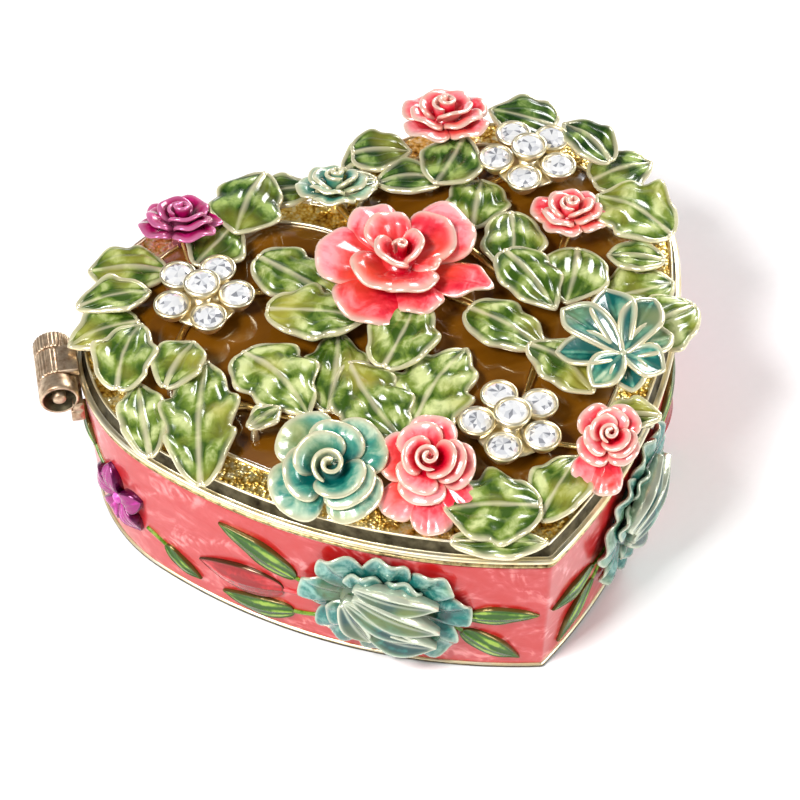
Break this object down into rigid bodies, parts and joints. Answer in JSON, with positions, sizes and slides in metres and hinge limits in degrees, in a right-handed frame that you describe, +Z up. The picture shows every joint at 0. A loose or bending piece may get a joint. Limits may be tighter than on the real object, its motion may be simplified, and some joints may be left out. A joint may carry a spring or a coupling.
{
  "type": "heart-shaped trinket box",
  "caption": "Heart-shaped enamelled metal trinket box whose hinged lid carries raised roses, leaves and stone-set blossoms over an amber pane.",
  "frame": {"origin": "on the resting face under the base, at the middle of the heart outline's length and width", "axes": "+Z up from the resting face; the heart's point faces -Y and its two lobes face +Y; the hinge is on the -X side"},
  "size_m": [0.07, 0.0594, 0.0277],
  "materials": {
    "gold_casting": "gold-plated zinc casting, polished beads and a granulated bed",
    "hinge_metal": "antique gold, worn and streaked along the barrel",
    "pink_enamel": "glossy coral-pink enamel with pearly swirls",
    "amber_pane": "glossy amber-brown, faintly streaked",
    "pink_rose": "pearly pink enamel with pale gilt petal edges",
    "teal_rose": "pearly teal enamel fading to cream, with gilt petal edges",
    "magenta_flower": "deep glossy magenta enamel",
    "green_leaf": "pearly green enamel with raised gilt rims and veins",
    "magnet": "nickel-plated",
    "stone_setting": "pale polished gold",
    "clear_stone": "faceted, foiled clear glass"
  },
  "bodies": {
    "base": {"base_shell": "gold_casting", "base_enamel": "pink_enamel", "base_magnet": "magnet", "hinge_base_leaf": "hinge_metal", "hinge_pin": "hinge_metal", "side_rose_left": "teal_rose", "side_rose_right": "teal_rose", "side_rose_back_left": "teal_rose", "side_rose_back_right": "teal_rose", "side_flower_left": "magenta_flower", "side_flower_right": "magenta_flower", "side_leaves_left": "green_leaf", "side_leaves_right": "green_leaf", "side_leaves_back": "green_leaf", "side_buds": "pink_rose"},
    "lid": {"lid_frame": "gold_casting", "lid_pane": "amber_pane", "lid_vines": "gold_casting", "lid_magnet": "magnet", "hinge_lid_leaf": "hinge_metal", "rose_centre": "pink_rose", "rose_front_teal": "teal_rose", "rose_front_pink": "pink_rose", "rose_hinge_magenta": "magenta_flower", "rose_back_pink": "pink_rose", "rose_back_teal": "teal_rose", "rose_right_pink": "pink_rose", "rose_right_teal": "teal_rose", "rose_point_pink": "pink_rose", "leaves_hinge": "green_leaf", "leaves_front": "green_leaf", "leaves_centre": "green_leaf", "leaves_right": "green_leaf", "leaves_back": "green_leaf", "setting_left": "stone_setting", "setting_front": "stone_setting", "setting_back": "stone_setting", "stones_left": "clear_stone", "stones_front": "clear_stone", "stones_back": "clear_stone"}
  },
  "joints": [
    {"name": "lid_hinge", "type": "hinge", "parent": "base", "child": "lid", "pos_m": [-0.03363, 0.01493, 0.0184], "axis": [-0.2756, -0.9613, 0], "range_deg": [0, 100]}
  ]
}
